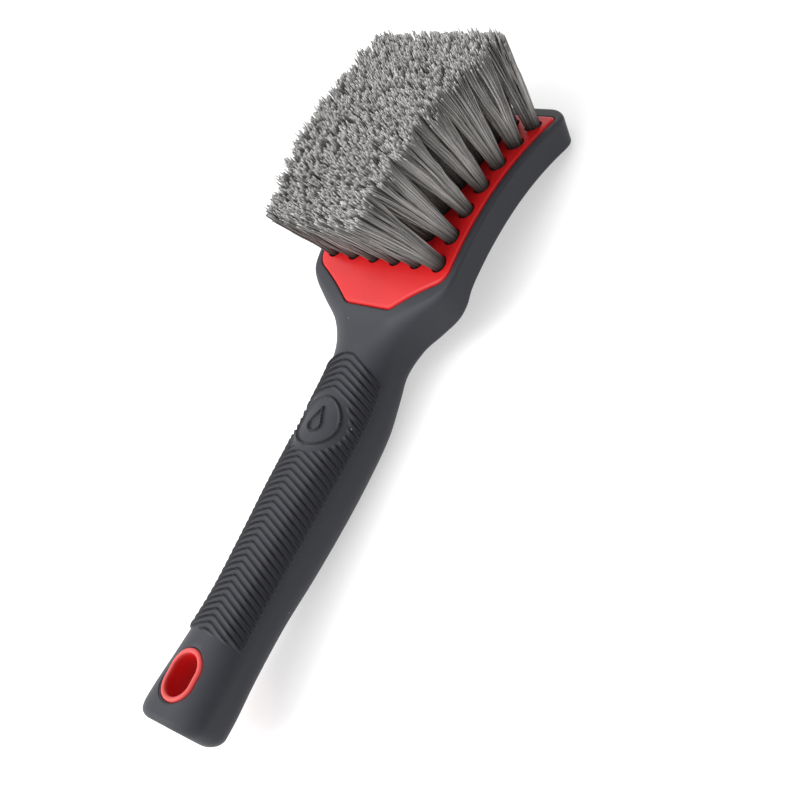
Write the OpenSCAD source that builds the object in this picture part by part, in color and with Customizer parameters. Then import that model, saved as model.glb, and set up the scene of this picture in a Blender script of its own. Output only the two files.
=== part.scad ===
// Hand wheel brush. A hard red core is drilled for 42 bristle tufts and carries a hang-hole eyelet,
// and one soft rubber grip is moulded round the core's back, its rim and the whole handle.
//
// The shapes are first drawn in the brush's own frame: its origin is the middle of the bristle face,
// +X runs along the handle to the head's far end and +Z is the way the bristles point. lay_down()
// then tips that frame until the brush rests on its back, with the origin under the middle of its box.

/* [Head] */
// Radius of the bristle face, which is curved along the handle
face_r = 136; // [125:1:150]
// Half of the head's width over the rubber
head_half_w = 35; // [34:0.5:37]
// Thickness of the head at its rim
head_t = 10.8; // [10.6:0.1:12]
// Distance from the middle of the face to the head's far end
head_end = 44; // [43:0.2:46]
// Distance over which the far end rounds off in plan
head_end_round = 14; // [10:0.5:16]
// How far the rubber rim lies below the red face
rim_drop = 0.4; // [0.2:0.1:1]

/* [Red core] */
// Half of the red face's width
face_half_w = 32; // [31.5:0.1:32.4]
// Distance from the middle to the red face's straight far edge
face_back = 37.5; // [37:0.1:38]
// X where the red face's sides start to slant in towards the handle
face_shoulder = -32.2; // [-33:0.1:-31]
// X of the red face's narrow front edge
face_front = -48.4; // [-49.5:0.1:-47]
// Half width of that front edge
face_front_half_w = 11.2; // [9:0.1:12]
// Radius of the red face's two far corners
face_corner_r = 3; // [1.5:0.1:4]
// Radius of its two shoulders
shoulder_r = 6.2; // [5:0.2:8]
// Radius of its two front corners
nose_r = 5.6; // [4:0.2:7]
// Radius of the hollow flanks between them
flank_r = 110; // [70:5:200]
// Thickness of the drilled block
block_t = 8.6; // [8.2:0.1:8.8]
// Thickness of the tang inside the handle
tang_t = 9; // [7:0.2:10]
// Width of the tang
tang_w = 12; // [8:0.5:14]

/* [Bristle tufts] */
// Rows of tufts along the head
rows = 7; // [5:1:7]
// Tufts in each row, across the head
columns = 6; // [4:1:6]
// Distance between neighbouring tufts, both ways
tuft_pitch = 10.5; // [10.3:0.1:10.6]
// Radius of a drilled hole
hole_r = 3.25; // [3:0.05:3.4]
// Depth of a drilled hole
hole_depth = 7.4; // [6.8:0.1:7.6]
// Length of the bristles that stands above the face
bristle_h = 36; // [30:0.5:38]
// Radius of a tuft at its tips
tuft_tip_r = 4.8; // [4:0.05:4.8]
// Lean of a tuft towards the middle, in degrees for each column from there
tuft_gather = 1.2; // [0:0.1:1.2]

/* [Anchors] */
// Thickness of the flat wire that holds a tuft in its hole
anchor_t = 0.45; // [0.3:0.05:0.6]
// Height of that wire
anchor_h = 1.8; // [1.2:0.1:2]
// How far each end of the wire bites into the hole's wall
anchor_bite = 0.6; // [0.3:0.05:0.8]

/* [Hang hole] */
// X of the hole's middle
hang_x = -184.6; // [-186:0.2:-182]
// Length of the opening along the handle
hang_len = 15.2; // [14:0.2:16]
// Width of the opening
hang_w = 11.2; // [9:0.2:12.4]
// Wall of the red eyelet
eyelet_wall = 1.9; // [1.6:0.1:2.2]

/* [Hidden] */

fit_gap = 0.05;           // gap between the rubber and the core
anchor_gap = 0.02;        // gap round an anchor wire
anchor_lift = 0.7;        // bristle fold under the anchor wire
root_gap = 0.05;          // gap between a tuft and its hole
flare_r = 0.2;            // a tuft spreads this far beyond its hole,
flare_h = 0.35;           // this high above the face
side_steps = 7;           // points on each rounded corner of a grip section
corner_steps = 8;         // points on each rounded corner of the red face
end_steps = 8;            // sections round the head's far end
butt_steps = 6;           // sections round the butt
butt_x = -201;            // the butt end
butt_r = 5.5;             // its corner radius, seen from above
butt_top_r = 2;           // its upper edge radius, seen from the side
butt_under_r = 5;         // its lower edge radius
head_edge_r = 2.5;        // edge radius of the head's far end
end_power = 4;            // squareness of the far end in plan, 2 being an ellipse
handle_lean = 7.6;        // slope of the handle's top line
handle_top_to = -50;      // X where the head's top line takes over from the handle's
lean_from = -70;          // X where the sections start to turn from the handle's slope
lean_to = -30;            // X where they are square to the face's curve
belly_round = 0.84;       // the underside rounds off over this share of the top's rounding
ellipse_from = 0.5;       // roundness from which a section is rounded by share of its width
side_ease = 1.2;          // how fast the rounding spreads sideways below that
widest_round = 0.98;      // most of the half width that a rounded corner takes up
eyelet_proud = 0.35;      // how far the eyelet's rim stands out of the rubber
eyelet_crown_r = 45;      // radius to which the eyelet's two ends are crowned
through = 100;            // length of a cutter, more than the brush is thick or wide

// Sections square to the handle's top line, chosen by eye:
// [x of the top, half width, height of the top, thickness, roundness].
// Roundness 1 is an ellipse, and 0.2 is a slab with small round edges.
SECTIONS = [
    [butt_x, 15.8, -34.8, 21.6, 0.72],
    [-190.0, 15.6, -33.6, 22.1, 0.76],
    [-176.0, 14.6, -31.9, 22.8, 0.86],
    [-156.0, 13.2, -29.3, 24.6, 0.94],
    [-136.0, 13.7, -26.3, 26.6, 0.94],
    [-116.0, 14.5, -23.1, 27.8, 0.94],
    [-98.0, 15.1, -20.8, 27.3, 0.94],
    [-82.0, 15.3, -18.5, 26.0, 0.94],
    [-70.0, 14.2, -16.1, 23.8, 0.90],
    [-62.0, 14.2, -13.9, 21.6, 0.80],
    [-54.0, 17.8, -11.6, 19.4, 0.55],
    [-48.0, 25.0, -9.2, 17.4, 0.40],
    [-43.0, 31.0, -7.4, 15.2, 0.32],
    [-39.0, 33.8, -6.1, 12.8, 0.27],
    [-34.0, 34.8, -4.7, 10.9, 0.27],
    [-26.0, 35.0, -2.9, 10.7, 0.27],
    [-12.0, 35.0, -0.9, 10.8, 0.27],
    [0.0, 35.0, -0.4, 10.8, 0.27]
];

// --- curves ------------------------------------------------------------------------------------

// Height of the bristle face at x, measured from its middle.
function face_z(x) = sqrt(face_r * face_r - x * x) - face_r;

// Slope of column k at section i, from its neighbours.
function slope(i, k) =
    let (a = max(i - 1, 0), b = min(i + 1, len(SECTIONS) - 1))
    (SECTIONS[b][k] - SECTIONS[a][k]) / (SECTIONS[b][0] - SECTIONS[a][0]);

// The last section at or before x.
function section_before(x, i = 0) =
    i >= len(SECTIONS) - 2 || SECTIONS[i + 1][0] > x ? i : section_before(x, i + 1);

// Column k at x, on a smooth curve through the sections.
function along(x, k) =
    let (
        i = section_before(x),
        d = SECTIONS[i + 1][0] - SECTIONS[i][0],
        t = min(max((x - SECTIONS[i][0]) / d, 0), 1),
        s = t * t * (3 - 2 * t),
        m = t * (1 - t)
    )
    SECTIONS[i][k] * (1 - s) + SECTIONS[i + 1][k] * s
        + d * m * ((1 - t) * slope(i, k) - t * slope(i + 1, k));

// The head keeps one section up to its far end, where a superellipse rounds it off in plan.
function half_w(x) =
    let (u = max(x - (head_end - head_end_round), 0) / head_end_round)
    x < 0 ? along(x, 1) * butt_round(x)
        : head_half_w * pow(max(1 - pow(u, end_power), 0.0001), 1 / end_power);

// The butt end rounds off over its last few millimetres.
function butt_round(x) =
    let (u = max(butt_x + butt_r - x, 0) / butt_r)
    1 - butt_r / SECTIONS[0][1] * (1 - sqrt(max(1 - u * u, 0)));

// How much an edge of radius r, r or less from the end, takes off the outline.
function edge_cut(from_end, r) = r - sqrt(max(r * r - pow(max(r - from_end, 0), 2), 0));
function top_cut(x) = edge_cut(x - butt_x, butt_top_r) + edge_cut(head_end - x, head_edge_r);
function under_cut(x) = edge_cut(x - butt_x, butt_under_r) + edge_cut(head_end - x, head_edge_r);

function top_z(x) = (x < handle_top_to ? along(x, 2) : face_z(x) - rim_drop) - top_cut(x);
function thick(x) = (x < 0 ? along(x, 3) : head_t) - top_cut(x) - under_cut(x);
slab_round = SECTIONS[len(SECTIONS) - 1][4];
function round_share(x) = x < 0 ? along(x, 4) : slab_round;

// Lean of a section from the vertical: square to the face's curve on the head, and to the top line
// of the handle behind it.
function lean(x) =
    let (u = min(max((x - lean_from) / (lean_to - lean_from), 0), 1))
    x > lean_to ? asin(x / face_r)
        : -handle_lean + (handle_lean + asin(lean_to / face_r)) * u * u * (3 - 2 * u);

// The point of the section at x that lies v above its top, in the brush's plane of symmetry.
function in_section(x, v) = [x + v * sin(lean(x)), top_z(x) + v * cos(lean(x))];
function middle(x) = in_section(x, -thick(x) / 2);

// --- grip --------------------------------------------------------------------------------------

// One section of the grip: a slab whose corners are quarter ellipses.
function ring(x) =
    let (
        w = half_w(x), h = thick(x) / 2, k = round_share(x),
        rz = h * k,
        ry_top = min(w * widest_round, k > ellipse_from ? w * k : rz + (k - slab_round) * w * side_ease)
    )
    [for (q = [0:3]) for (j = [0:side_steps])
        let (
            a = 90 * (q + j / side_steps),
            ry = q < 2 ? ry_top : ry_top * belly_round,
            y = (q == 0 || q == 3 ? 1 : -1) * (w - ry) + ry * cos(a),
            z = (q < 2 ? 1 : -1) * (h - rz) + rz * sin(a),
            p = in_section(x, z - h)
        )
        [p.x, y, p.y]];

// Where the sections stand: close together where the outline turns, wide apart on the handle.
STATIONS = concat(
    [for (i = [0:butt_steps]) butt_x + butt_under_r * (1 - cos(90 * i / butt_steps))],
    [for (x = [-189:7:-70]) x],
    [for (x = [-67:3:-34]) x],
    [for (x = [-26:8:28]) x],
    [for (i = [0:end_steps]) head_end - head_end_round * (1 - sin(90 * i / end_steps))]
);

module loft(stations) {
    rings = [for (x = stations) ring(x)];
    n = len(rings[0]);
    m = len(rings);
    points = [for (r = rings) for (p = r) p];
    sides = [for (i = [0:m - 2]) for (j = [0:n - 1])
        let (a = i * n + j, b = i * n + (j + 1) % n)
        each [[a, a + n, b + n], [a, b + n, b]]];
    polyhedron(points, concat([[for (j = [0:n - 1]) j]], sides, [[for (j = [n - 1:-1:0]) (m - 1) * n + j]]));
}

module grip() {
    color("#3a3c42")
    difference() {
        loft(STATIONS);
        block(fit_gap, head_t);
        tang(fit_gap);
        in_handle_frame() eyelet_outer(fit_gap, through);
    }
}

// --- red core ----------------------------------------------------------------------------------

// Centre of the circle of radius r that touches circles a and b from outside, left of the line a-b.
// A circle is [x, y, radius].
function touching(a, b, r) =
    let (
        d = [b.x - a.x, b.y - a.y], l = norm(d),
        t = (l * l + (r + a[2]) * (r + a[2]) - (r + b[2]) * (r + b[2])) / (2 * l),
        h = sqrt((r + a[2]) * (r + a[2]) - t * t)
    )
    [a.x + (d.x * t - d.y * h) / l, a.y + (d.y * t + d.x * h) / l, r];

function direction(a, b) = atan2(b.y - a.y, b.x - a.x);

// Points on circle c from angle a0 to angle a1, with extra on the radius.
function arc(c, a0, a1, extra) =
    [for (j = [0:corner_steps])
        let (a = a0 + (a1 - a0) * j / corner_steps)
        [c.x + (c[2] + extra) * cos(a), c.y + (c[2] + extra) * sin(a)]];

// The red face's outline, grown by extra all round: far corner, shoulder, a slightly hollow flank
// and the nose on one side, then the same mirrored.
module face_outline(extra) {
    far = [face_back - face_corner_r, face_half_w - face_corner_r, face_corner_r];
    shoulder = [face_shoulder, face_half_w - shoulder_r, shoulder_r];
    nose = [face_front + nose_r, face_front_half_w - nose_r / 3, nose_r];
    flank = touching(nose, shoulder, flank_r);
    half = concat(
        arc(far, 0, 90, extra),
        arc(shoulder, 90, direction(shoulder, flank), extra),
        arc(flank, direction(flank, shoulder), direction(flank, nose), -extra),
        arc(nose, direction(nose, flank), 180, extra)
    );
    polygon(concat(half, [for (i = [len(half) - 1:-1:0]) [half[i].x, -half[i].y]]));
}

// The drilled block: the outline, cut to the curve of the face. Its cutter is larger by extra all
// round and stands rise above the face.
module block(extra, rise) {
    difference() {
        intersection() {
            linear_extrude(through, center = true) face_outline(extra);
            translate([0, 0, -face_r]) rotate([90, 0, 0])
                cylinder(r = face_r + rise, h = through, center = true, $fn = 240);
        }
        translate([0, 0, -face_r]) rotate([90, 0, 0])
            cylinder(r = face_r - block_t - extra, h = 2 * through, center = true, $fn = 240);
    }
}

TANG_X = [-42, -50, -58, -66, -80, -100, -120, -140, -160, hang_x + 5];

// The tang follows the middle of the handle.
module tang(extra) {
    h = tang_t / 2 + extra;
    path = [for (x = TANG_X) middle(x)];
    rotate([90, 0, 0]) linear_extrude(tang_w + 2 * extra, center = true)
        polygon(concat([for (p = path) p + [0, h]], [for (i = [len(path) - 1:-1:0]) path[i] - [0, h]]));
}

// Z is square to the handle's top at the hang hole.
module in_handle_frame() {
    m = middle(hang_x);
    translate([m.x, 0, m.y]) rotate([0, lean(hang_x), 0]) children();
}

module stadium(len, w, h) {
    linear_extrude(h, center = true) {
        square([len - w, w], center = true);
        for (s = [-1, 1]) translate([s * (len - w) / 2, 0]) circle(d = w, $fn = 64);
    }
}

module eyelet_outer(extra, h) {
    stadium(hang_len + 2 * (eyelet_wall + extra), hang_w + 2 * (eyelet_wall + extra), h);
}

// The eyelet's two ends follow the round top and bottom of the handle.
module eyelet() {
    reach = thick(hang_x) / 2 + eyelet_proud;
    in_handle_frame() difference() {
        intersection() {
            eyelet_outer(0, through);
            translate([0, 0, reach - eyelet_crown_r]) rotate([0, 90, 0])
                cylinder(r = eyelet_crown_r, h = through, center = true, $fn = 240);
            translate([0, 0, eyelet_crown_r - reach]) rotate([0, 90, 0])
                cylinder(r = eyelet_crown_r, h = through, center = true, $fn = 240);
        }
        stadium(hang_len, hang_w, through);
    }
}

// Angle of a row along the face, and Y of a column.
function row_angle(r) = (r - (rows + 1) / 2) * tuft_pitch / face_r * 180 / PI;
function column_y(c) = (c - (columns + 1) / 2) * tuft_pitch;

// Puts a child on the face at row r and column c, with +Z square to the face.
module at_tuft(r, c) {
    translate([0, column_y(c), -face_r]) rotate([0, row_angle(r), 0]) translate([0, 0, face_r]) children();
}

module anchor_wire(extra) {
    translate([-anchor_t / 2 - extra, -hole_r - anchor_bite - extra, -hole_depth + anchor_lift - extra])
        cube([anchor_t + 2 * extra, 2 * (hole_r + anchor_bite + extra), anchor_h + 2 * extra]);
}

module core() {
    color("#d8302f")
    difference() {
        union() {
            block(0, 0);
            tang(0);
            eyelet();
        }
        for (r = [1:rows]) for (c = [1:columns]) at_tuft(r, c) {
            translate([0, 0, -hole_depth]) cylinder(r = hole_r, h = 2 * hole_depth, $fn = 32);
            anchor_wire(anchor_gap);
        }
        in_handle_frame() stadium(hang_len, hang_w, through);
    }
}

// --- tufts and anchors ---------------------------------------------------------------------------

module tuft(r, c) {
    color("#8f8d8b")
    at_tuft(r, c) difference() {
        union() {
            translate([0, 0, -hole_depth + root_gap])
                cylinder(r = hole_r - root_gap, h = hole_depth + 1, $fn = 32);
            rotate([tuft_gather * (c - (columns + 1) / 2), 0, 0]) translate([0, 0, flare_h])
                cylinder(r1 = hole_r + flare_r, r2 = tuft_tip_r, h = bristle_h - flare_h, $fn = 32);
        }
        anchor_wire(anchor_gap);
    }
}

module anchors(r) {
    color("#b8b4a8")
    for (c = [1:columns]) at_tuft(r, c) anchor_wire(0);
}

// --- rest pose -----------------------------------------------------------------------------------

rest_tilt = 12.96;        // tips the brush until its belly and its far end both touch the ground
function tipped(p) = [
    p.x * cos(rest_tilt) + p.z * sin(rest_tilt),
    p.y,
    p.z * cos(rest_tilt) - p.x * sin(rest_tilt)
];
grip_cloud = [for (x = STATIONS) for (p = ring(x)) tipped(p)];
tip_angle = row_angle(rows);
far_tip = tipped([
    (face_r + bristle_h) * sin(tip_angle) + tuft_tip_r * cos(tip_angle),
    0,
    (face_r + bristle_h) * cos(tip_angle) - tuft_tip_r * sin(tip_angle) - face_r
]);
box_back = min([for (p = grip_cloud) p.x]);
box_front = max(far_tip.x, max([for (p = grip_cloud) p.x]));
ground = min([for (p = grip_cloud) p.z]);

module lay_down() {
    translate([-(box_back + box_front) / 2, 0, -ground]) rotate([0, rest_tilt, 0]) children();
}

lay_down() core();
lay_down() grip();
for (r = [1:rows]) {
    lay_down() anchors(r);
    for (c = [1:columns])
        lay_down() tuft(r, c);
}
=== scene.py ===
"""Hand wheel brush: a soft ribbed grip moulded over a hard red core, with 42 flared bristle tufts.

Shapes are drawn in the brush's own frame, in millimetres: its origin is the middle of the bristle
face, +X runs to the head's far end and +Z is the way the bristles point. settle() then lays a
finished mesh down beside the CAD nodes, in metres.
"""

import math

import bmesh
import bpy
import numpy as np
from mathutils import Matrix, Quaternion, Vector


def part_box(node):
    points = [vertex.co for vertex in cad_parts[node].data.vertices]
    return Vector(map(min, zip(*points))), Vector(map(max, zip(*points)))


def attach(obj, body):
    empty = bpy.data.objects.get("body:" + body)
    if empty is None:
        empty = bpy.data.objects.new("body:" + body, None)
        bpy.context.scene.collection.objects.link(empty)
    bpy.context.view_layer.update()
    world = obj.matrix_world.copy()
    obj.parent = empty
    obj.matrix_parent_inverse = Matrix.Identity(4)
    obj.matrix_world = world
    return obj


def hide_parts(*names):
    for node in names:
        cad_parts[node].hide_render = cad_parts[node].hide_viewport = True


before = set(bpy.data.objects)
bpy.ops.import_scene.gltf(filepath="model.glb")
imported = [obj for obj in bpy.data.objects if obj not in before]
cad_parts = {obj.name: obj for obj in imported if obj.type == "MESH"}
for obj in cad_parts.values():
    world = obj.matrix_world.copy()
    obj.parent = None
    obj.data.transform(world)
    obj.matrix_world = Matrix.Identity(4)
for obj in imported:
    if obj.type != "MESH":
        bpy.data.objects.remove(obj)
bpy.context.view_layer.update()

# --- sizes, in millimetres -----------------------------------------------------------------------

MM = 0.001
REST_TILT = math.radians(12.96)   # the brush lies tipped by this, on its belly and its far end

FACE_R = 136                      # the bristle face's curve along the head
HEAD_HALF_W = 35
HEAD_T = 10.8
HEAD_END = 44
HEAD_END_ROUND = 14
HEAD_END_POWER = 4                # how square the far end's outline is: 2 would be an ellipse
RIM_DROP = 0.4                    # the rubber rim lies this far below the red face

FACE_HALF_W = 32                  # outline of the red face
FACE_BACK = 37.5
FACE_SHOULDER = -32.2
FACE_FRONT = -48.4
FACE_FRONT_HALF_W = 11.2
FACE_CORNER_R = 3
SHOULDER_R = 6.2
NOSE_R = 5.6
FLANK_R = 110
BLOCK_T = 8.6
TANG_T = 9
TANG_W = 12
TANG_END_X = -42                  # the tang reaches this far into the block

ROWS = 7
COLUMNS = 6
TUFT_PITCH = 10.5
HOLE_R = 3.25
HOLE_DEPTH = 7.4
BRISTLE_H = 36                    # height of the tips above the face
ANCHOR_MIDDLE = 5.8               # depth of the anchor wires' middle below the face

HANG_X = -184.6
HANG_LEN = 15.2
HANG_W = 11.2
EYELET_WALL = 1.9
EYELET_PROUD = 0.35

BUTT_X = -201
BUTT_R = 5.5                      # its corners seen from above, its top edge and its lower edge
BUTT_TOP_R = 2
BUTT_UNDER_R = 5
HEAD_EDGE_R = 2.5
HANDLE_LEAN = math.radians(7.6)   # slope of the handle's top line
LEAN_FROM = -70                   # the sections turn square to the face between these
LEAN_TO = -30
SLAB_ROUND = 0.27                 # roundness of the head's section
SIDE_EASE = 1.2                   # how fast the rounding spreads sideways along the neck
ELLIPSE_FROM = 0.42               # roundness from which a section's corners turn to an ellipse's
ELLIPSE_OVER = 0.16
WIDEST_ROUND = 0.98
BELLY_ROUND = 0.84
ARCH_FROM = -54                   # where the top line starts to follow the face's curve
ARCH_OVER = 8
ARCH_LIMIT = -60                  # past here the face's circle isn't asked for

# Sections square to the handle's top line, as in the CAD model:
# x of the top, half width, height of the top, thickness, roundness.
SECTIONS = np.array([
    (BUTT_X, 15.8, -34.8, 21.6, 0.72),
    (-190, 15.6, -33.6, 22.1, 0.76),
    (-176, 14.6, -31.9, 22.8, 0.86),
    (-156, 13.2, -29.3, 24.6, 0.94),
    (-136, 13.7, -26.3, 26.6, 0.94),
    (-116, 14.5, -23.1, 27.8, 0.94),
    (-98, 15.1, -20.8, 27.3, 0.94),
    (-82, 15.3, -18.5, 26.0, 0.94),
    (-70, 14.2, -16.1, 23.8, 0.90),
    (-62, 14.2, -13.9, 21.6, 0.80),
    (-54, 17.8, -11.6, 19.4, 0.55),
    (-48, 25.0, -9.2, 17.4, 0.40),
    (-43, 31.0, -7.4, 15.2, 0.32),
    (-39, 33.8, -6.1, 12.8, 0.27),
    (-34, 34.8, -4.7, 10.9, 0.27),
    (-26, 35.0, -2.9, 10.7, 0.27),
    (-12, 35.0, -0.9, 10.8, 0.27),
    (0, 35.0, -0.4, 10.8, 0.27),
])

RIB_PITCH = 2.45                  # chevron ribs on the grip
RIB_DEPTH = 0.8
RIB_SWEEP = 0.42                  # how far an arm runs back for each millimetre round the grip
RIB_FIRST = -65.4                 # apex of the rib nearest the head
RIB_COUNT = 43
RIB_REACH = 18                    # how far round the grip the arms go
RIB_END_X = -169.5
RIB_LAST = RIB_FIRST - (RIB_COUNT - 0.5) * RIB_PITCH
RIB_APEX_R = 1.2                  # how far round the grip the rounded apex reaches
RIB_FADE = 1.2                    # the grooves run out over this at the arms' ends
GROOVE_HALF = 0.24                # half of a groove's width on the left, in rib pitches
GROOVE_WIDER = 0.12               # added to that on the right
GROOVE_FULL = 1.3                 # a groove's depth on the left, in rib depths
GROOVE_SHALLOWER = 0.75           # taken off that on the right, beside the apex
UNSWEEP = 28                      # the mesh's rows turn straight again over this, on the neck

MEDAL_X = -90.5                   # the round plain field among the ribs
MEDAL_RING_R = 9.05
MEDAL_FIELD_R = 11.4
MEDAL_FADE = 0.8
MEDAL_SIDE = 15                   # keeps the field on the top of the grip
RING_HALF_W = 0.45
RING_DEPTH = 0.75
DROP_R = 2.7                      # the water drop in the field
DROP_TIP = 6.4
DROP_BACK = 1.4
DROP_HALF_W = 0.5
DROP_DEPTH = 0.85

FILAMENTS = 290                   # in each tuft
FILAMENT_SIDES = 4
FILAMENT_LEVELS = np.array([-0.17, 0, 0.16, 0.34, 0.55, 0.78, 1])
ROOT_R = 0.17                     # a filament's radius in its hole, and at its split end
TIP_R = 0.21
ROOT_SPREAD = 2.6                 # half of a tuft's spread where it leaves its hole
TIP_REACH_X = 6.9                 # half of a tuft's spread at its tips, along and across
TIP_REACH_Y = 5.4
TIP_SWEEP = 1.8                   # all the tips lean this far to one side
FIELD_CORNER = 0.45               # share taken off a tuft's corners on the field's outside
FIELD_REACH = 39                  # tips past this from the middle of the field are held back
FIELD_REACH_LESS = 4              # and past this much less on the +Y side
HELD_BACK = 0.55
CLUMPS = 30                       # groups of filaments that lean together, in each tuft
CLUMP_PULL = 0.3                  # how far a tip moves to the middle of its clump
SUNKEN_SHARE = 0.14               # share of the clumps that stand lower, and by how much
SUNKEN_BY = 2.4
EDGE_WEAR = 1.1                   # how much shorter the outermost filaments are, on average
TURN = 6.28                       # a full turn, for random angles
# Width of the whole bristle field at its tips, as a share of the even spread, row by row
GATHER = (0.78, 0.84, 0.89, 0.91, 0.94, 0.97, 1.0)

# --- placing -------------------------------------------------------------------------------------

UP = Vector((math.sin(REST_TILT), 0, math.cos(REST_TILT)))
wires_low, wires_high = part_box("anchors_row_4")
FACE_MIDDLE = (wires_low + wires_high) / 2 + ANCHOR_MIDDLE * MM * UP
LAY_DOWN = Matrix.Translation(FACE_MIDDLE) @ Matrix.Rotation(REST_TILT, 4, "Y") @ Matrix.Scale(MM, 4)


def new_piece(name, points, faces):
    """A mesh object made from points and faces in the brush's frame."""
    mesh = bpy.data.meshes.new(name)
    mesh.from_pydata([tuple(p) for p in points], [], faces)
    piece = bpy.data.objects.new(name, mesh)
    bpy.context.collection.objects.link(piece)
    return piece


def pick(piece):
    """Makes piece the only selected and active object."""
    bpy.ops.object.select_all(action="DESELECT")
    piece.select_set(True)
    bpy.context.view_layer.objects.active = piece


def apply_modifiers(piece):
    pick(piece)
    for modifier in list(piece.modifiers):
        bpy.ops.object.modifier_apply(modifier=modifier.name)


def combine(piece, tool, operation):
    """Cuts tool out of piece, or joins it on, and removes the tool."""
    boolean = piece.modifiers.new(operation.lower(), "BOOLEAN")
    boolean.operation = operation
    boolean.object = tool
    boolean.solver = "EXACT"
    apply_modifiers(piece)
    bpy.data.objects.remove(tool)


def store(piece, name, values):
    """Keeps one value for each point of piece, for its material to read."""
    kept = piece.data.attributes.new(name, "FLOAT", "POINT")
    kept.data.foreach_set("value", np.ascontiguousarray(values, np.float32).ravel())


def settle(piece, body, slot, material, *nodes):
    """Lays a finished piece down in the row frame, gives it its material, hangs it on its body and hides
    the CAD nodes it replaces.
    """
    piece.data.transform(LAY_DOWN)
    piece.data.materials.clear()
    piece.data.materials.append(material)
    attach(piece, body)
    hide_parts(*nodes)


def smooth_step(v):
    v = np.clip(v, 0, 1)
    return v * v * (3 - 2 * v)


# --- the grip's curves -----------------------------------------------------------------------------


def face_z(x):
    """Height of the bristle face at x, from its middle."""
    return np.sqrt(FACE_R**2 - np.square(x)) - FACE_R


def along(x, column):
    """A column of the sections at x, on a smooth curve through them."""
    at, values = SECTIONS[:, 0], SECTIONS[:, column]
    before = np.maximum(np.arange(len(at)) - 1, 0)
    after = np.minimum(np.arange(len(at)) + 1, len(at) - 1)
    slope = (values[after] - values[before]) / (at[after] - at[before])
    i = np.clip(np.searchsorted(at, x, side="right") - 1, 0, len(at) - 2)
    width = at[i + 1] - at[i]
    t = np.clip((x - at[i]) / width, 0, 1)
    s = t * t * (3 - 2 * t)
    ease = width * t * (1 - t) * ((1 - t) * slope[i] - t * slope[i + 1])
    return values[i] * (1 - s) + values[i + 1] * s + ease


def half_w(x):
    end = np.maximum(x - (HEAD_END - HEAD_END_ROUND), 0) / HEAD_END_ROUND
    butt = np.maximum(BUTT_X + BUTT_R - x, 0) / BUTT_R
    handle = along(x, 1) * (1 - BUTT_R / SECTIONS[0, 1] * (1 - np.sqrt(np.maximum(1 - butt**2, 0))))
    head = HEAD_HALF_W * np.maximum(1 - end**HEAD_END_POWER, 0.0001) ** (1 / HEAD_END_POWER)
    return np.where(x < 0, handle, head)


def edge_cut(from_end, r):
    """How much an edge of radius r takes off the outline, that far from the end."""
    return r - np.sqrt(np.maximum(r * r - np.maximum(r - from_end, 0) ** 2, 0))


def top_cut(x):
    return edge_cut(x - BUTT_X, BUTT_TOP_R) + edge_cut(HEAD_END - x, HEAD_EDGE_R)


def under_cut(x):
    return edge_cut(x - BUTT_X, BUTT_UNDER_R) + edge_cut(HEAD_END - x, HEAD_EDGE_R)


def top_z(x):
    arch = smooth_step((x - ARCH_FROM) / ARCH_OVER)
    rim = face_z(np.maximum(x, ARCH_LIMIT)) - RIM_DROP
    return along(x, 2) * (1 - arch) + rim * arch - top_cut(x)


def thick(x):
    return np.where(x < 0, along(x, 3), HEAD_T) - top_cut(x) - under_cut(x)


def lean(x):
    """Lean of a section: square to the face on the head, and to the top line on the handle."""
    turn = smooth_step((x - LEAN_FROM) / (LEAN_TO - LEAN_FROM))
    handle = -HANDLE_LEAN + (HANDLE_LEAN + math.asin(LEAN_TO / FACE_R)) * turn
    return np.where(x > LEAN_TO, np.arcsin(np.clip(x / FACE_R, -1, 1)), handle)


def in_section(x, y, v):
    """The point of the section at x that lies v above its top and y off the middle."""
    return np.stack([x + v * np.sin(lean(x)), y, top_z(x) + v * np.cos(lean(x))], -1)


def section_columns():
    """Where a section's points lie: which side, share of the corner's width, and both for height."""
    top_steps, under_steps, flat_steps = 46, 11, 8
    columns = []
    for quarter in range(4):
        steps = top_steps if quarter < 2 else under_steps
        side = 1 if quarter in (0, 3) else -1
        level = 1 if quarter < 2 else -1
        for j in range(steps + 1):
            a = (quarter + j / steps) * math.pi / 2
            columns.append((side, math.cos(a), level, math.sin(a)))
        if quarter in (0, 2):
            for j in range(1, flat_steps):
                columns.append((side * (1 - 2 * j / flat_steps), 0, level, level))
        else:
            columns.append((side, side, 0, 0))
    return np.array(columns).T


def grip_skin(x, columns):
    """Points of the grip's skin: x is the section, columns say how far round it."""
    side, across, level, rise = columns
    w, h = half_w(x), thick(x) / 2
    k = np.where(x < 0, along(x, 4), SLAB_ROUND)
    rz = h * k
    slab = rz + (k - SLAB_ROUND) * w * SIDE_EASE
    rounder = smooth_step((k - ELLIPSE_FROM) / ELLIPSE_OVER)
    ry = np.minimum(w * WIDEST_ROUND, slab * (1 - rounder) + w * k * rounder)
    ry = np.where(level > 0, ry, ry * BELLY_ROUND)
    y = side * (w - ry) + ry * across
    z = level * (h - rz) + rz * rise
    return in_section(x, y, z - h)


# --- the grip --------------------------------------------------------------------------------------


def arm_offset(s):
    """How far back a chevron's arm has run, s round the grip from its rounded apex."""
    s = np.minimum(np.abs(s), RIB_REACH)
    return RIB_SWEEP * (np.sqrt(s * s + RIB_APEX_R**2) - RIB_APEX_R)


def drop_distance(along_x, y):
    """Distance from the outline of a water drop whose point is at +x."""
    half_angle = math.asin(DROP_R / DROP_TIP)
    y = np.abs(y)
    run = along_x * math.cos(half_angle) - y * math.sin(half_angle)
    side = along_x * math.sin(half_angle) + y * math.cos(half_angle) - DROP_R
    bowl = np.hypot(along_x, y) - DROP_R
    point = np.hypot(along_x - DROP_TIP, y)
    return np.where(run < 0, bowl, np.where(run > DROP_TIP * math.cos(half_angle), point, side))


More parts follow.
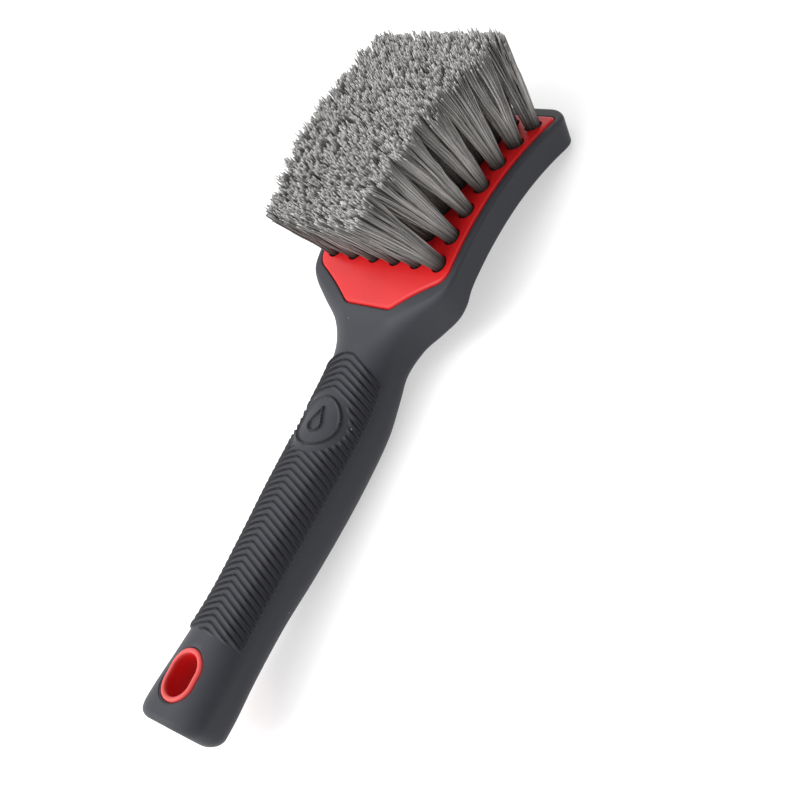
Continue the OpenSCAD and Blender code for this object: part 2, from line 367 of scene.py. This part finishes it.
def rib_depth(u, s, x, from_medal, on_top):
    """Depth of the chevron grooves: wider on the right, and shallow just right of the apex."""
    ribs = (u - RIB_FIRST) / RIB_PITCH
    phase = np.abs(ribs - np.round(ribs))
    right = smooth_step((s + 1) / 3)
    half = GROOVE_HALF + GROOVE_WIDER * right
    strength = GROOVE_FULL - GROOVE_SHALLOWER * right * smooth_step((11 - s) / 4)
    groove = strength * (0.5 + 0.5 * np.cos(np.pi * np.clip(phase / half, 0, 1)))
    groove = groove * (u < RIB_FIRST + RIB_PITCH / 2) * (u > RIB_LAST)
    groove = groove * smooth_step((RIB_REACH - np.abs(s)) / RIB_FADE) * smooth_step(x - RIB_END_X)
    outside_medal = smooth_step((from_medal - MEDAL_FIELD_R) / MEDAL_FADE)
    return RIB_DEPTH * (groove * np.where(on_top, outside_medal, 1))


def carve_depth(u, s, points):
    """Depth of the moulded pattern: chevron ribs, and the medallion's ring and drop.

    u tells the chevrons apart, and s is how far round the grip a point is from the middle of its top.
    """
    x, y = points[..., 0], points[..., 1]
    from_medal = np.hypot(x - MEDAL_X, y)
    from_drop = drop_distance(x - MEDAL_X + DROP_BACK, y)
    on_top = np.abs(s) < MEDAL_SIDE
    ribs = rib_depth(u, s, x, from_medal, on_top)
    ring = RING_DEPTH * (np.exp(-(((from_medal - MEDAL_RING_R) / RING_HALF_W) ** 4)) * on_top)
    drop = DROP_DEPTH * (np.exp(-((from_drop / DROP_HALF_W) ** 4)) * on_top)
    return np.maximum(np.maximum(ribs, ring), drop)


def grip_rows():
    """Where the rows of the grip's mesh stand, closest together on the ribs and round the ends."""
    rib_rows, head_x = 10, -34
    pattern = RIB_FIRST + RIB_PITCH / 2 - np.arange(RIB_COUNT * rib_rows + 1) * RIB_PITCH / rib_rows
    butt = BUTT_X + BUTT_UNDER_R * (1 - np.cos(np.linspace(0, np.pi / 2, 15)))
    end = HEAD_END - HEAD_END_ROUND * (1 - np.sin(np.linspace(0, np.pi / 2, 25)))
    return np.concatenate([
        butt,
        np.linspace(butt[-1], pattern[-1], 16)[1:-1],
        pattern[::-1],
        np.linspace(pattern[0], head_x, 38)[1:-1],
        np.linspace(head_x, end[0], 44)[:-1],
        end,
    ])


def lofted(rows, columns):
    """Faces of a closed tube through that many rings of points, with flat ends."""
    i, j = np.meshgrid(np.arange(rows - 1), np.arange(columns), indexing="ij")
    a, b = i * columns + j, i * columns + (j + 1) % columns
    sides = np.stack([a, b, b + columns, a + columns], -1).reshape(-1, 4).tolist()
    start = list(range(columns))[::-1]
    end = [(rows - 1) * columns + k for k in range(columns)]
    return [start] + sides + [end]


def round_from_top(columns):
    """How far round the grip each column is from the middle of its top, at its middle section."""
    section = grip_skin(np.full(columns.shape[1], -110.0), columns)
    steps = np.linalg.norm(np.diff(section[:, 1:], axis=0), axis=1)
    s = np.concatenate([[0], np.cumsum(steps)])
    underneath = section[:, 2] < section[:, 2].mean()
    top = np.argmin(np.where(underneath, np.inf, np.abs(section[:, 1])))
    return np.where(columns[3] < 0, RIB_REACH * 2, s - s[top])


def grip_mesh():
    """The grip: a skin whose rows run along the chevrons, pressed in by the pattern's depth."""
    columns = section_columns()
    s, u = round_from_top(columns), grip_rows()
    butt = BUTT_X + BUTT_UNDER_R
    swept = smooth_step((u - butt) / (RIB_LAST - BUTT_X - BUTT_UNDER_R))
    swept = np.minimum(swept, 1 - smooth_step((u - RIB_FIRST - RIB_PITCH) / UNSWEEP))
    x = u[:, None] - arm_offset(s)[None, :] * swept[:, None]
    points = grip_skin(x, columns[:, None, :])
    across = np.roll(points, -1, 1) - np.roll(points, 1, 1)
    forward = np.gradient(points, axis=0)
    normal = np.cross(forward, across)
    normal /= np.maximum(np.linalg.norm(normal, axis=-1, keepdims=True), 1e-9)
    depth = carve_depth(u[:, None], s[None, :], points)
    carved = points - normal * depth[..., None]
    piece = new_piece("soft_grip", carved.reshape(-1, 3), lofted(*carved.shape[:2]))
    # The material also reads this depth, to paint shade into the grooves
    store(piece, "groove", depth / RIB_DEPTH)
    return piece


# --- the red core ------------------------------------------------------------------------------------


def arc(centre, r, start, end, steps=8):
    return [
        (centre[0] + r * math.cos(a), centre[1] + r * math.sin(a))
        for a in np.linspace(start, end, steps + 1)
    ]


def direction(a, b):
    return math.atan2(b[1] - a[1], b[0] - a[0])


def flank_centre(nose, shoulder):
    """Centre of the hollow flank's circle, which touches the nose's and the shoulder's circles."""
    d = (shoulder[0] - nose[0], shoulder[1] - nose[1])
    gap = math.hypot(*d)
    to_nose, to_shoulder = FLANK_R + NOSE_R, FLANK_R + SHOULDER_R
    t = (gap**2 + to_nose**2 - to_shoulder**2) / (2 * gap)
    h = math.sqrt(to_nose**2 - t**2)
    return nose[0] + (d[0] * t - d[1] * h) / gap, nose[1] + (d[1] * t + d[0] * h) / gap


def face_outline(extra=0):
    """The red face's outline, grown by extra all round, anticlockwise."""
    far = (FACE_BACK - FACE_CORNER_R, FACE_HALF_W - FACE_CORNER_R)
    shoulder = (FACE_SHOULDER, FACE_HALF_W - SHOULDER_R)
    nose = (FACE_FRONT + NOSE_R, FACE_FRONT_HALF_W - NOSE_R / 3)
    flank = flank_centre(nose, shoulder)
    half = arc(far, FACE_CORNER_R + extra, 0, math.pi / 2)
    half += arc(shoulder, SHOULDER_R + extra, math.pi / 2, direction(shoulder, flank))
    hollow = arc(flank, FLANK_R - extra, direction(flank, shoulder), direction(flank, nose), 12)
    half += hollow[1:-1]
    half += arc(nose, NOSE_R + extra, direction(nose, flank), math.pi)
    return half + [(x, -y) for x, y in reversed(half)]


def drape(piece):
    """Cuts piece across every few millimetres along X, and lets it down onto the face's curve."""
    step = 3
    mesh = bmesh.new()
    mesh.from_mesh(piece.data)
    for x in np.arange(FACE_FRONT + step, FACE_BACK + 1, step):
        everything = mesh.verts[:] + mesh.edges[:] + mesh.faces[:]
        bmesh.ops.bisect_plane(mesh, geom=everything, plane_co=(x, 0, 0), plane_no=(1, 0, 0))
    for v in mesh.verts:
        v.co.z += float(face_z(v.co.x))
    mesh.to_mesh(piece.data)
    mesh.free()


def block():
    """The drilled block, with its upper edge rounded over."""
    edge_r, edge_steps = 0.9, 5
    rings = [(0, -BLOCK_T)]
    for j in range(edge_steps + 1):
        a = math.pi / 2 * j / edge_steps
        rings.append((-edge_r * (1 - math.cos(a)), -edge_r * (1 - math.sin(a))))
    points = [(x, y, z) for extra, z in rings for x, y in face_outline(extra)]
    count = len(face_outline())
    piece = new_piece("red_core", points, lofted(len(rings), count))
    drape(piece)
    return piece


def pocket():
    """What the block takes out of the rubber: a little more, with a lip that turns outwards."""
    lip = [(0.15, -BLOCK_T - 0.1), (0.15, -1.2), (0.2, -0.85), (0.35, -0.62),
           (0.6, -0.46), (1.0, -0.38), (1.6, -0.3), (1.6, 4)]
    points = [(x, y, z) for extra, z in lip for x, y in face_outline(extra)]
    count = len(face_outline())
    piece = new_piece("pocket", points, lofted(len(lip), count))
    drape(piece)
    return piece


def holes():
    """All the drilled holes as one cutter."""
    points, faces = [], []
    sides = 28
    for row, column in tuft_places():
        base = len(points)
        for h in (-HOLE_DEPTH, 3):
            for j in range(sides):
                a = 2 * math.pi * j / sides
                points.append(at_tuft(row, column, HOLE_R * math.cos(a), HOLE_R * math.sin(a), h))
        ring = lofted(2, sides)
        faces += [[base + k for k in face] for face in ring]
    return new_piece("holes", points, faces)


def tang(extra=0):
    """The bar inside the handle, along the middle of its sections."""
    x = np.linspace(HANG_X + 5, TANG_END_X, 24)
    middle = in_section(x, np.zeros_like(x), -thick(x) / 2)
    w, h = TANG_W / 2 + extra, TANG_T / 2 + extra
    points = [(p[0], y, p[2] + z) for p in middle for y, z in ((-w, -h), (w, -h), (w, h), (-w, h))]
    return new_piece("tang", points, lofted(len(x), 4))


def stadium(extra, sides=64):
    """The hang hole's outline, grown by extra."""
    straight, r = (HANG_LEN - HANG_W) / 2, HANG_W / 2
    outline = []
    for j in range(sides):
        a = 2 * math.pi * (j + 0.5) / sides
        shift = straight if math.cos(a) > 0 else -straight
        outline.append((shift + (r + extra) * math.cos(a), (r + extra) * math.sin(a)))
    return outline


def hang_place():
    """Where the hang hole's middle is, and its lean, in the brush's frame."""
    x = np.array(float(HANG_X))
    middle = in_section(x, np.array(0.0), -thick(x) / 2)
    return Matrix.Translation(Vector(middle)) @ Matrix.Rotation(float(lean(x)), 4, "Y")


def crown(y, level=1):
    """Height of the handle's skin over the hang hole's middle at y: level is 1 on top, -1 below."""
    x = np.array(float(HANG_X))
    w, h, k = float(half_w(x)), float(thick(x)) / 2, float(along(x, 4))
    ry = w * k * (1 if level > 0 else BELLY_ROUND)
    out = min(max(abs(y) - (w - ry), 0) / ry, 1)
    return h - h * k * (1 - math.sqrt(1 - out * out))


def ring_sweep(name, profile, sides=64):
    """A ring round the hang hole: profile is distance outwards, height, and 1 on top or -1 below."""
    points = []
    for extra, rise, level in profile:
        for x, y in stadium(extra, sides):
            points.append((x, y, level * (crown(y, level) + rise)))
    count = len(profile)
    faces = []
    for i in range(count):
        for j in range(sides):
            a, b = i * sides + j, i * sides + (j + 1) % sides
            c, d = ((i + 1) % count) * sides + j, ((i + 1) % count) * sides + (j + 1) % sides
            faces.append((a, b, d, c))
    piece = new_piece(name, points, faces)
    piece.data.transform(hang_place())
    return piece


def eyelet():
    """The red eyelet: a wall round the hang hole whose two rims are rounded beads."""
    bead, steps = EYELET_WALL / 2, 6
    rim = []
    for j in range(steps + 1):
        a = math.pi * j / steps
        rim.append((bead + bead * math.cos(a), EYELET_PROUD - bead * 0.75 * (1 - math.sin(a))))
    profile = [(e, z, 1) for e, z in rim] + [(e, z, -1) for e, z in reversed(rim)]
    return ring_sweep("eyelet", profile)


def eyelet_cutter():
    """What the eyelet takes out of the rubber, with a small lip."""
    wall = EYELET_WALL + 0.12
    lip = [(wall + 0.9, 3), (wall + 0.9, 0.02), (wall + 0.45, -0.05), (wall + 0.15, -0.3), (wall, -0.8)]
    points, count = [], 64
    for level, ring in [(-1, lip), (1, lip[::-1])]:
        for extra, rise in ring:
            points += [(x, y, level * (crown(y, level) + rise)) for x, y in stadium(extra, count)]
    piece = new_piece("eyelet_cutter", points, lofted(2 * len(lip), count))
    piece.data.transform(hang_place())
    return piece


# --- tufts -------------------------------------------------------------------------------------------


def tuft_places():
    return [(row, column) for row in range(1, ROWS + 1) for column in range(1, COLUMNS + 1)]


def row_angle(row):
    return (row - (ROWS + 1) / 2) * TUFT_PITCH / FACE_R


def column_y(column):
    return (column - (COLUMNS + 1) / 2) * TUFT_PITCH


def at_tuft(row, column, x, y, h):
    """A point x, y off the middle of a tuft and h above the face, in the brush's frame."""
    a = row_angle(row)
    return (
        (FACE_R + h) * np.sin(a) + x * np.cos(a),
        y + column_y(column),
        (FACE_R + h) * np.cos(a) - x * np.sin(a) - FACE_R,
    )


def outer_sides(row, column, disc):
    """Which filaments stand on the bristle field's outside, along X and along Y."""
    end = (row == ROWS) - (row == 1)
    side = (column == COLUMNS) - (column == 1)
    return disc[:, 0] * end > 0, disc[:, 1] * side > 0


def tip_places(row, column, disc, angle, rng):
    """Where the filaments end, off the tuft's middle, and the clump that each one belongs to."""
    squarer = np.maximum(np.abs(np.cos(angle)), np.abs(np.sin(angle))) ** -0.75
    tip = disc * squarer[:, None]
    outer_x, outer_y = outer_sides(row, column, disc)
    rounded = 1 - FIELD_CORNER * np.stack([outer_x * tip[:, 1] ** 2, outer_y * tip[:, 0] ** 2], 1)
    tip = tip * rounded * (TIP_REACH_X, TIP_REACH_Y) + rng.normal(0, 0.5, (FILAMENTS, 2))
    middles = tip[rng.choice(FILAMENTS, CLUMPS, replace=False)]
    clump = np.argmin(np.linalg.norm(tip[:, None] - middles[None], axis=2), axis=1)
    tip += (middles[clump] - tip) * CLUMP_PULL
    tip[:, 1] += column_y(column)
    tip[:, 1] = tip[:, 1] * GATHER[row - 1] - column_y(column) + TIP_SWEEP
    reach = FIELD_REACH - FIELD_REACH_LESS * smooth_step((tip[:, 1] + column_y(column)) / 30)
    beyond = np.maximum(row_angle(row) * (FACE_R + BRISTLE_H) + tip[:, 0] - reach, 0)
    tip[:, 0] -= HELD_BACK * beyond
    return tip, clump


def filament_heights(row, column, disc, clump, rng):
    """Uneven heights above the face, with sunken clumps and worn filaments round the field's edge."""
    height = BRISTLE_H + rng.normal(0, 0.45, FILAMENTS) + rng.normal(0, 0.35, CLUMPS)[clump]
    height -= SUNKEN_BY * (rng.random(CLUMPS) < SUNKEN_SHARE)[clump]
    outer_x, outer_y = outer_sides(row, column, disc)
    out_x = np.abs(disc[:, 0]) * (0.5 + outer_x)
    out_y = np.abs(disc[:, 1]) * (0.5 + outer_y)
    outward = np.clip(np.maximum(out_x, out_y), 0, 1.2)
    return height - outward**3 * rng.exponential(EDGE_WEAR, FILAMENTS)


def filament_paths(root, tip, height, clump, rng):
    """The filaments' wavy middle lines: x, y and height, with a row for each level."""
    wave = rng.normal(0, 0.3, (CLUMPS, 2))[clump] + rng.normal(0, 0.16, (FILAMENTS, 2))
    waves = rng.uniform(0.8, 1.6, CLUMPS)[clump]
    start = rng.uniform(0, TURN, CLUMPS)[clump]
    rise = np.maximum(FILAMENT_LEVELS[:, None], 0)
    bow = rise**1.15
    swing = np.sin(2 * np.pi * waves * rise + start) - np.sin(start)
    x = root[:, 0] + (tip[:, 0] - root[:, 0]) * bow + wave[:, 0] * swing * np.sqrt(rise)
    y = root[:, 1] + (tip[:, 1] - root[:, 1]) * bow + wave[:, 1] * swing * np.sqrt(rise)
    return x, y, height * FILAMENT_LEVELS[:, None]


def tuft(row, column):
    """A bundle of thin filaments, close in the hole and splayed and clumped at the tips."""
    rng = np.random.default_rng(100 * row + column)
    k = np.arange(FILAMENTS)
    angle = k * math.pi * (3 - math.sqrt(5)) + rng.uniform(0, TURN)
    disc = np.sqrt((k + 0.5) / FILAMENTS)[:, None] * np.stack([np.cos(angle), np.sin(angle)], 1)
    tip, clump = tip_places(row, column, disc, angle, rng)
    height = filament_heights(row, column, disc, clump, rng)
    x, y, z = filament_paths(disc * ROOT_SPREAD, tip, height, clump, rng)
    tone = rng.normal(1, 0.34, FILAMENTS) * rng.normal(1, 0.08, CLUMPS)[clump]
    rise = np.maximum(FILAMENT_LEVELS[:, None], 0)
    r = (ROOT_R + (TIP_R - ROOT_R) * rise) * rng.uniform(0.85, 1.15, FILAMENTS)
    corner = np.arange(FILAMENT_SIDES) * 2 * math.pi / FILAMENT_SIDES
    corner = corner + rng.uniform(0, TURN, FILAMENTS)[:, None]
    px = x[..., None] + r[..., None] * np.cos(corner)
    py = y[..., None] + r[..., None] * np.sin(corner)
    pz = np.broadcast_to(z[..., None], px.shape)
    points = np.stack(at_tuft(row, column, px, py, pz), -1)
    points = points.transpose(1, 0, 2, 3).reshape(-1, 3)

    levels = len(FILAMENT_LEVELS)
    per = levels * FILAMENT_SIDES
    one = lofted(levels, FILAMENT_SIDES)
    faces = [[f * per + v for v in face] for f in range(FILAMENTS) for face in one]
    piece = new_piece(f"tuft_row_{row}_column_{column}", points, faces)
    store(piece, "rise", np.tile(np.repeat(FILAMENT_LEVELS, FILAMENT_SIDES), FILAMENTS))
    store(piece, "tone", np.repeat(np.clip(tone, 0.45, 1.6), per))
    piece.data.shade_smooth()
    return piece


# --- materials ---------------------------------------------------------------------------------------


def node_group(name, inputs, outputs):
    """An empty shader node group with named sockets."""
    group = bpy.data.node_groups.new(name, "ShaderNodeTree")
    for socket, kind, value in inputs:
        made = group.interface.new_socket(socket, in_out="INPUT", socket_type=kind)
        made.default_value = value
    for socket, kind in outputs:
        group.interface.new_socket(socket, in_out="OUTPUT", socket_type=kind)
    return group, group.nodes.new("NodeGroupInput"), group.nodes.new("NodeGroupOutput")


def noise(tree, scale, detail=3, roughness=0.5):
    coordinates = tree.nodes.new("ShaderNodeTexCoord")
    texture = tree.nodes.new("ShaderNodeTexNoise")
    texture.inputs["Detail"].default_value = detail
    texture.inputs["Roughness"].default_value = roughness
    tree.links.new(coordinates.outputs["Object"], texture.inputs["Vector"])
    if isinstance(scale, (int, float)):
        texture.inputs["Scale"].default_value = scale
    else:
        tree.links.new(scale, texture.inputs["Scale"])
    return texture.outputs["Fac"]


def math_node(tree, operation, a, b=None, clamp=False):
    node = tree.nodes.new("ShaderNodeMath")
    node.operation = operation
    node.use_clamp = clamp
    for socket, value in zip(node.inputs, (a, b)):
        if value is None:
            continue
        if isinstance(value, (int, float)):
            socket.default_value = value
        else:
            tree.links.new(value, socket)
    return node.outputs[0]


def mix_colors(tree, factor, a, b, blend="MIX"):
    node = tree.nodes.new("ShaderNodeMix")
    node.data_type = "RGBA"
    node.blend_type = blend
    for socket, value in ((node.inputs[0], factor), (node.inputs[6], a), (node.inputs[7], b)):
        if isinstance(value, (int, float)):
            socket.default_value = value
        elif isinstance(value, tuple):
            socket.default_value = (*value, 1)
        else:
            tree.links.new(value, socket)
    return node.outputs[2]


def map_range(tree, value, low, high, to_low=0, to_high=1):
    node = tree.nodes.new("ShaderNodeMapRange")
    node.clamp = True
    tree.links.new(value, node.inputs["Value"])
    node.inputs["From Min"].default_value = low
    node.inputs["From Max"].default_value = high
    node.inputs["To Min"].default_value = to_low
    node.inputs["To Max"].default_value = to_high
    return node.outputs[0]


def mottle_group():
    """Slow cloudy change between two colours, with a mask of the same clouds."""
    group, given, out = node_group(
        "mottle",
        [("Dark", "NodeSocketColor", (0, 0, 0, 1)), ("Light", "NodeSocketColor", (1, 1, 1, 1)),
         ("Scale", "NodeSocketFloat", 40.0)],
        [("Color", "NodeSocketColor"), ("Mask", "NodeSocketFloat")],
    )
    clouds = map_range(group, noise(group, given.outputs["Scale"], 5, 0.6), 0.3, 0.7)
    color = mix_colors(group, clouds, given.outputs["Dark"], given.outputs["Light"])
    group.links.new(color, out.inputs["Color"])
    group.links.new(clouds, out.inputs["Mask"])
    return group


def grain_group():
    """Height of a fine moulded grain."""
    group, given, out = node_group(
        "moulded_grain",
        [("Scale", "NodeSocketFloat", 3000.0)],
        [("Height", "NodeSocketFloat")],
    )
    group.links.new(noise(group, given.outputs["Scale"], 2, 0.5), out.inputs["Height"])
    return group


def lint_group():
    """Mask of a few tiny dust specks."""
    group, given, out = node_group(
        "lint",
        [("Scale", "NodeSocketFloat", 90.0), ("Size", "NodeSocketFloat", 0.03),
         ("Amount", "NodeSocketFloat", 0.1)],
        [("Mask", "NodeSocketFloat")],
    )
    coordinates = group.nodes.new("ShaderNodeTexCoord")
    cells = group.nodes.new("ShaderNodeTexVoronoi")
    group.links.new(coordinates.outputs["Object"], cells.inputs["Vector"])
    group.links.new(given.outputs["Scale"], cells.inputs["Scale"])
    pick_cell = group.nodes.new("ShaderNodeSeparateColor")
    group.links.new(cells.outputs["Color"], pick_cell.inputs[0])
    few = math_node(group, "LESS_THAN", pick_cell.outputs[0], given.outputs["Amount"])
    near = math_node(group, "LESS_THAN", cells.outputs["Distance"], given.outputs["Size"])
    group.links.new(math_node(group, "MULTIPLY", few, near), out.inputs["Mask"])
    return group


MOTTLE, GRAIN, LINT = mottle_group(), grain_group(), lint_group()


def material(name):
    """A new material with its node tree and its main shader."""
    made = bpy.data.materials.new(name)
    made.use_nodes = True
    return made, made.node_tree, made.node_tree.nodes["Principled BSDF"]


def use_group(tree, group, **values):
    node = tree.nodes.new("ShaderNodeGroup")
    node.node_tree = group
    for socket, value in values.items():
        node.inputs[socket].default_value = value
    return node


def add_bump(tree, shader, height, strength, distance):
    bump = tree.nodes.new("ShaderNodeBump")
    bump.inputs["Strength"].default_value = strength
    bump.inputs["Distance"].default_value = distance
    tree.links.new(height, bump.inputs["Height"])
    tree.links.new(bump.outputs["Normal"], shader.inputs["Normal"])


def stored(tree, name):
    """A value that store() kept on the piece's points."""
    node = tree.nodes.new("ShaderNodeAttribute")
    node.attribute_name = name
    return node.outputs["Fac"]


def soft_touch_rubber():
    made, tree, shader = material("soft_touch_rubber")
    dark, light = (0.021, 0.022, 0.028, 1), (0.027, 0.028, 0.034, 1)
    clouds = use_group(tree, MOTTLE, Dark=dark, Light=light, Scale=45)
    # Painted shade: the rubber's colour turns near black with the depth of the grooves, where shade falls
    groove_painted_shade = map_range(tree, stored(tree, "groove"), 0.1, 0.8, 0, 0.75)
    color = mix_colors(tree, groove_painted_shade, clouds.outputs["Color"], (0.004, 0.004, 0.005))
    specks = use_group(tree, LINT, Scale=220, Size=0.07, Amount=0.08)
    color = mix_colors(tree, specks.outputs["Mask"], color, (0.15, 0.15, 0.145))
    tree.links.new(color, shader.inputs["Base Color"])
    tree.links.new(map_range(tree, clouds.outputs["Mask"], 0, 1, 0.5, 0.6), shader.inputs["Roughness"])
    shader.inputs["Specular IOR Level"].default_value = 0.22
    shader.inputs["Sheen Weight"].default_value = 0.04
    shader.inputs["Sheen Roughness"].default_value = 0.4
    grain = use_group(tree, GRAIN, Scale=3500)
    add_bump(tree, shader, grain.outputs["Height"], 0.35, 0.00006)
    return made


def lip_highlight_mask(tree):
    """Mask of a painted highlight: 1 on the eyelet's top lip, where its rim catches the light, and 0
    elsewhere, from the height above the hang hole's middle.
    """
    lip = LAY_DOWN @ hang_place()
    middle, outwards = lip.translation, lip.to_3x3() @ Vector((0, 0, 1 / MM))
    outwards.normalize()
    coordinates = tree.nodes.new("ShaderNodeTexCoord")
    above = tree.nodes.new("ShaderNodeVectorMath")
    above.operation = "DOT_PRODUCT"
    tree.links.new(coordinates.outputs["Object"], above.inputs[0])
    above.inputs[1].default_value = outwards
    top = middle.dot(outwards) + (crown(HANG_W / 2) + EYELET_PROUD) * MM
    high = map_range(tree, above.outputs["Value"], top - 1.8 * MM, top - 0.3 * MM)
    split = tree.nodes.new("ShaderNodeSeparateXYZ")
    tree.links.new(coordinates.outputs["Object"], split.inputs[0])
    head_side = middle.x + HANG_LEN * MM
    near = map_range(tree, split.outputs["X"], head_side, head_side - 2 * MM)
    return math_node(tree, "MULTIPLY", high, near)


def red_plastic():
    made, tree, shader = material("moulded_red_plastic")
    clouds = use_group(tree, MOTTLE, Dark=(0.43, 0.006, 0.008, 1), Light=(0.5, 0.009, 0.01, 1), Scale=55)
    # Painted highlight: the eyelet's top lip is mixed to a paler pink-red, standing in for the light its
    # rounded rim catches
    color = mix_colors(tree, lip_highlight_mask(tree), clouds.outputs["Color"], (0.48, 0.055, 0.052))
    tree.links.new(color, shader.inputs["Base Color"])
    tree.links.new(map_range(tree, clouds.outputs["Mask"], 0, 1, 0.34, 0.42), shader.inputs["Roughness"])
    shader.inputs["Specular IOR Level"].default_value = 0.2
    shader.inputs["Coat Weight"].default_value = 0.06
    shader.inputs["Coat Roughness"].default_value = 0.25
    grain = use_group(tree, GRAIN, Scale=2200)
    add_bump(tree, shader, grain.outputs["Height"], 0.15, 0.00005)
    return made


def bristle_filament():
    made, tree, shader = material("bristle_filament")
    rise = stored(tree, "rise")
    # Painted shade: the filaments are near black at the root and lighten up to a third of their height,
    # for the shade down among the tufts
    low = map_range(tree, rise, 0, 0.3)
    low = mix_colors(tree, low, (0.035, 0.033, 0.031), (0.3, 0.288, 0.28))
    # Painted shade: a darker band just under the tips stands in for the shade between the filaments'
    # ends, and the cut ends above it are lighter
    shaded = mix_colors(tree, map_range(tree, rise, 0.72, 0.93), low, (0.17, 0.166, 0.162))
    body = mix_colors(tree, map_range(tree, rise, 0.965, 0.985), shaded, (0.36, 0.357, 0.352))
    tone = stored(tree, "tone")
    grey = tree.nodes.new("ShaderNodeCombineColor")
    for socket in grey.inputs[:3]:
        tree.links.new(tone, socket)
    color = mix_colors(tree, 1.0, body, grey.outputs[0], "MULTIPLY")
    streaks = use_group(tree, MOTTLE, Dark=(0.8, 0.8, 0.8, 1), Light=(1, 0.985, 0.97, 1), Scale=420)
    color = mix_colors(tree, 1.0, color, streaks.outputs["Color"], "MULTIPLY")
    tree.links.new(color, shader.inputs["Base Color"])
    tree.links.new(map_range(tree, streaks.outputs["Mask"], 0, 1, 0.42, 0.55), shader.inputs["Roughness"])
    shader.inputs["Specular IOR Level"].default_value = 0.4
    return made


def drawn_wire():
    made, tree, shader = material("drawn_steel_wire")
    clouds = use_group(tree, MOTTLE, Dark=(0.5, 0.49, 0.47, 1), Light=(0.68, 0.67, 0.65, 1), Scale=700)
    tree.links.new(clouds.outputs["Color"], shader.inputs["Base Color"])
    tree.links.new(map_range(tree, clouds.outputs["Mask"], 0, 1, 0.28, 0.45), shader.inputs["Roughness"])
    shader.inputs["Metallic"].default_value = 1
    grain = use_group(tree, GRAIN, Scale=6000)
    add_bump(tree, shader, grain.outputs["Height"], 0.2, 0.00002)
    return made


# --- stage -------------------------------------------------------------------------------------------


def add_camera():
    """The camera looks down at the brush from the butt end's right, rolled over onto its side."""
    place, aim = Vector((-0.09014, -0.40376, 0.37772)), Vector((0.00064, -0.02617, 0.02))
    roll = math.radians(56.83)
    lens = bpy.data.cameras.new("camera")
    lens.lens, lens.sensor_width = 72, 36
    lens.clip_start = 0.01
    camera = bpy.data.objects.new("camera", lens)
    bpy.context.collection.objects.link(camera)
    camera.rotation_mode = "QUATERNION"
    camera.rotation_quaternion = (aim - place).to_track_quat("-Z", "Y") @ Quaternion((0, 0, 1), -roll)
    camera.location = place
    bpy.context.scene.camera = camera


def add_floor():
    bpy.ops.object.select_all(action="DESELECT")
    bpy.ops.mesh.primitive_plane_add(size=30, location=(0, 0, 0))
    floor = bpy.context.object
    floor.name = "floor"
    made, tree, shader = material("pale_floor")
    paper = use_group(tree, MOTTLE, Dark=(0.5, 0.5, 0.5, 1), Light=(0.52, 0.52, 0.52, 1), Scale=4)
    tree.links.new(paper.outputs["Color"], shader.inputs["Base Color"])
    shader.inputs["Roughness"].default_value = 0.9
    shader.inputs["Specular IOR Level"].default_value = 0.1
    shader.inputs["Emission Color"].default_value = (1, 1, 1, 1)
    shader.inputs["Emission Strength"].default_value = 0.5
    floor.data.materials.append(made)


def area_light(name, place, aim, size, watts):
    data = bpy.data.lights.new(name, "AREA")
    data.shape, data.size, data.energy = "DISK", size, watts
    light = bpy.data.objects.new(name, data)
    bpy.context.collection.objects.link(light)
    light.location = place
    light.rotation_euler = (Vector(aim) - Vector(place)).to_track_quat("-Z", "Y").to_euler()


def add_lights():
    world = bpy.data.worlds.new("studio")
    bpy.context.scene.world = world
    world.use_nodes = True
    tree = world.node_tree
    background = tree.nodes["Background"]
    background.inputs["Color"].default_value = (1, 1, 1, 1)
    looking = tree.nodes.new("ShaderNodeTexCoord")
    toward = tree.nodes.new("ShaderNodeVectorMath")
    toward.operation = "DOT_PRODUCT"
    tree.links.new(looking.outputs["Generated"], toward.inputs[0])
    toward.inputs[1].default_value = (-0.4, 0.45, 0.8)
    glow = map_range(tree, toward.outputs["Value"], -0.4, 1, 0.1, 2.1)
    tree.links.new(glow, background.inputs["Strength"])
    area_light("overhead_softbox", (-0.5, 0.5, 1.0), (0, 0, 0), 1.1, 12)


# --- the object --------------------------------------------------------------------------------------

bpy.context.scene.view_settings.view_transform = "Standard"
add_camera()
add_floor()
add_lights()

RUBBER, RED, FILAMENT, WIRE = soft_touch_rubber(), red_plastic(), bristle_filament(), drawn_wire()

core = block()
combine(core, holes(), "DIFFERENCE")
combine(core, tang(), "UNION")
combine(core, eyelet(), "UNION")
pick(core)
bpy.ops.object.shade_smooth_by_angle(angle=math.radians(40))
settle(core, "root", "red_core", RED, "core")

grip = grip_mesh()
combine(grip, pocket(), "DIFFERENCE")
combine(grip, tang(0.05), "DIFFERENCE")
combine(grip, eyelet_cutter(), "DIFFERENCE")
pick(grip)
bpy.ops.object.shade_smooth_by_angle(angle=math.radians(50))
settle(grip, "root", "grip_rubber", RUBBER, "grip")

for row, column in tuft_places():
    settle(tuft(row, column), "root", "bristle", FILAMENT, f"tuft_r{row}_c{column}")

for row in range(1, ROWS + 1):
    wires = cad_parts[f"anchors_row_{row}"]
    wires.data.materials.clear()
    wires.data.materials.append(WIRE)
